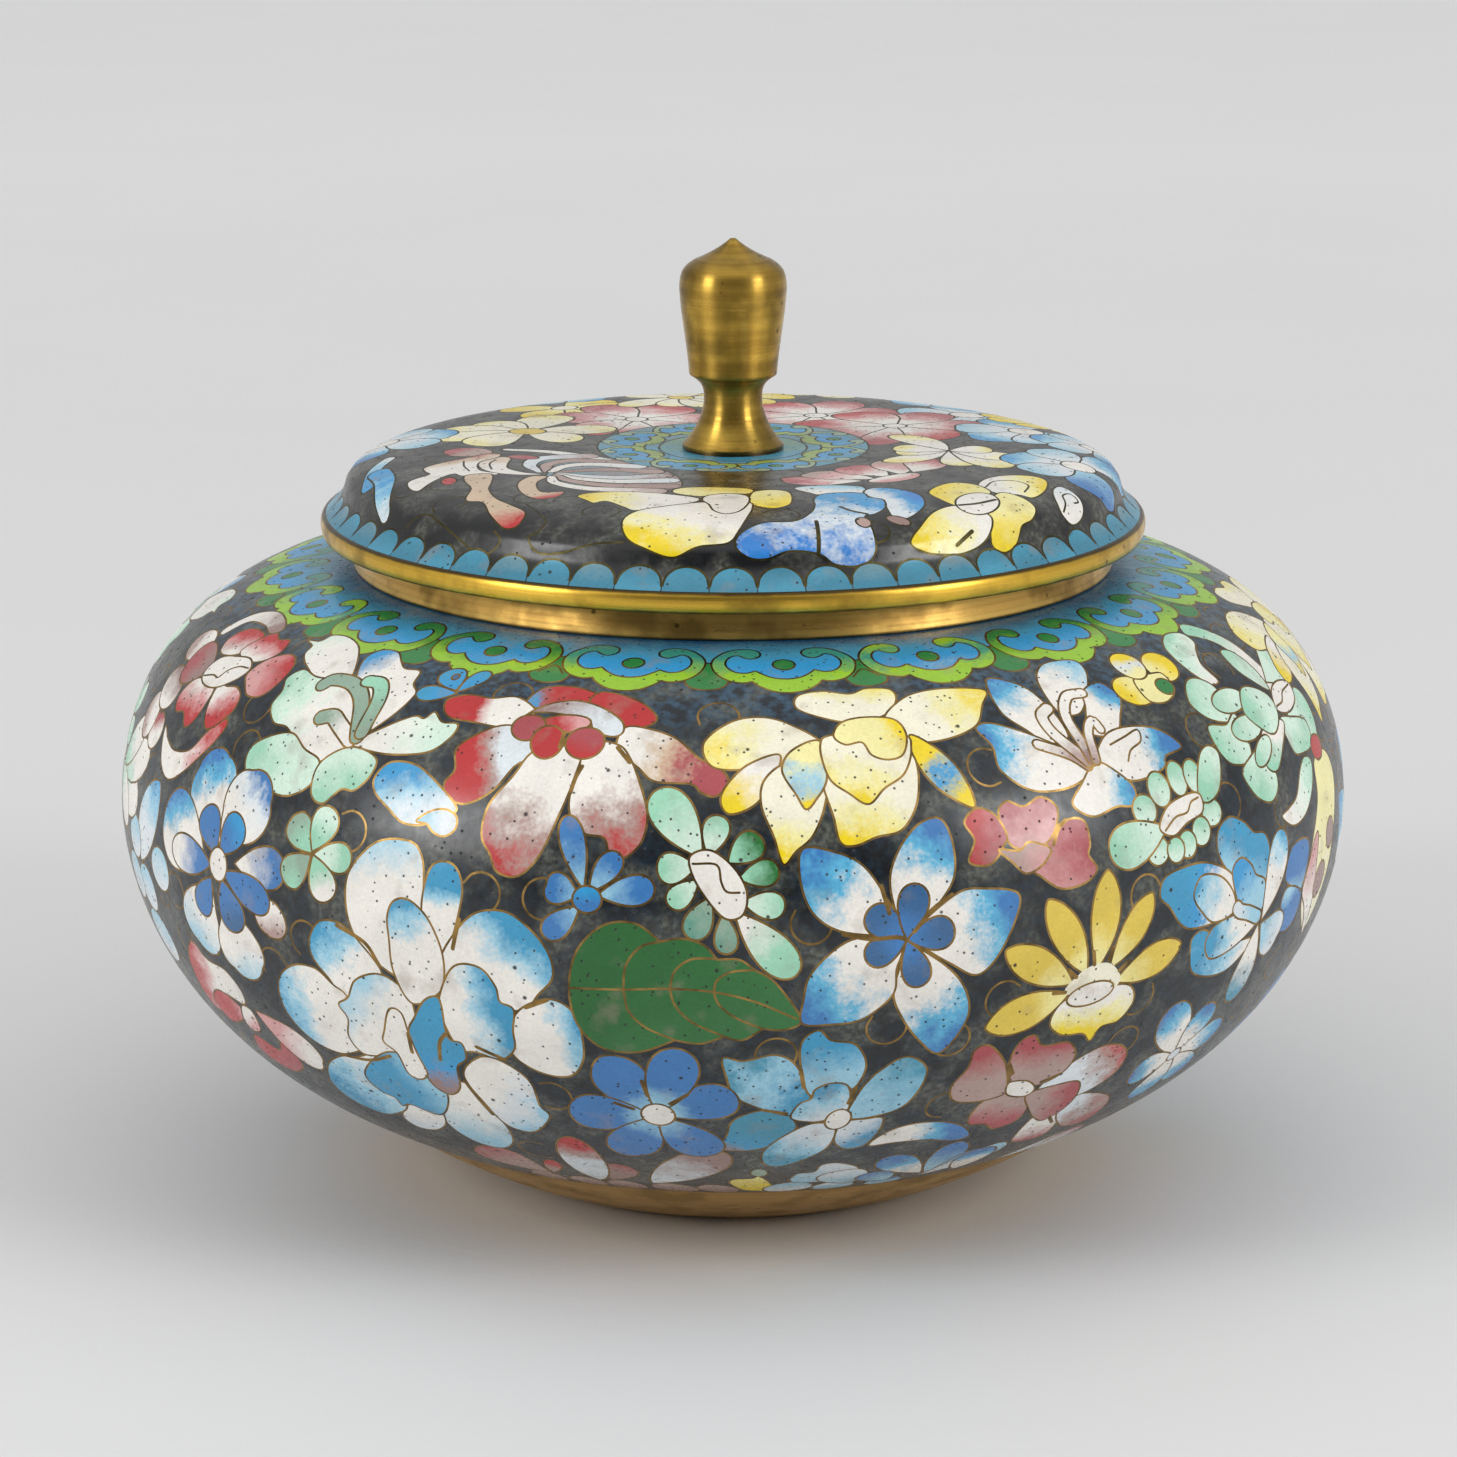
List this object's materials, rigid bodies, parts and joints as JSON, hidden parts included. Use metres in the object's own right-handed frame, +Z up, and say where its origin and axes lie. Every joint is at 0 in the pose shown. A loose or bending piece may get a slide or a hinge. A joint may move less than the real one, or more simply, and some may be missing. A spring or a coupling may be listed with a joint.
{
  "type": "cloisonne lidded jar",
  "caption": "Squat round enamelled jar on a sloping brass foot ring, with a lift-off flat-topped lid, brass rim and turned brass finial.",
  "frame": {"origin": "middle of the standing plane, under the jar's axis", "axes": "+Z up along the jar's axis, -Y towards the side that the picture shows"},
  "size_m": [0.15, 0.15, 0.1143],
  "materials": {
    "body_enamel": "polished cloisonne enamel, many colours on a black ground, flush brass wires",
    "lid_enamel": "polished cloisonne enamel, many colours on a black ground, flush brass wires",
    "collar_brass": "turned brass, lightly tarnished",
    "rim_brass": "bright bevelled brass, worn along the edge",
    "foot_brass": "satin brass, browned",
    "finial_brass": "turned and polished brass with small tarnish blotches"
  },
  "bodies": {
    "root": {"jar_body": "body_enamel", "neck_collar": "collar_brass", "foot_ring": "foot_brass", "lid_rim": "rim_brass", "lid_shell": "lid_enamel", "finial": "finial_brass"}
  },
  "joints": []
}
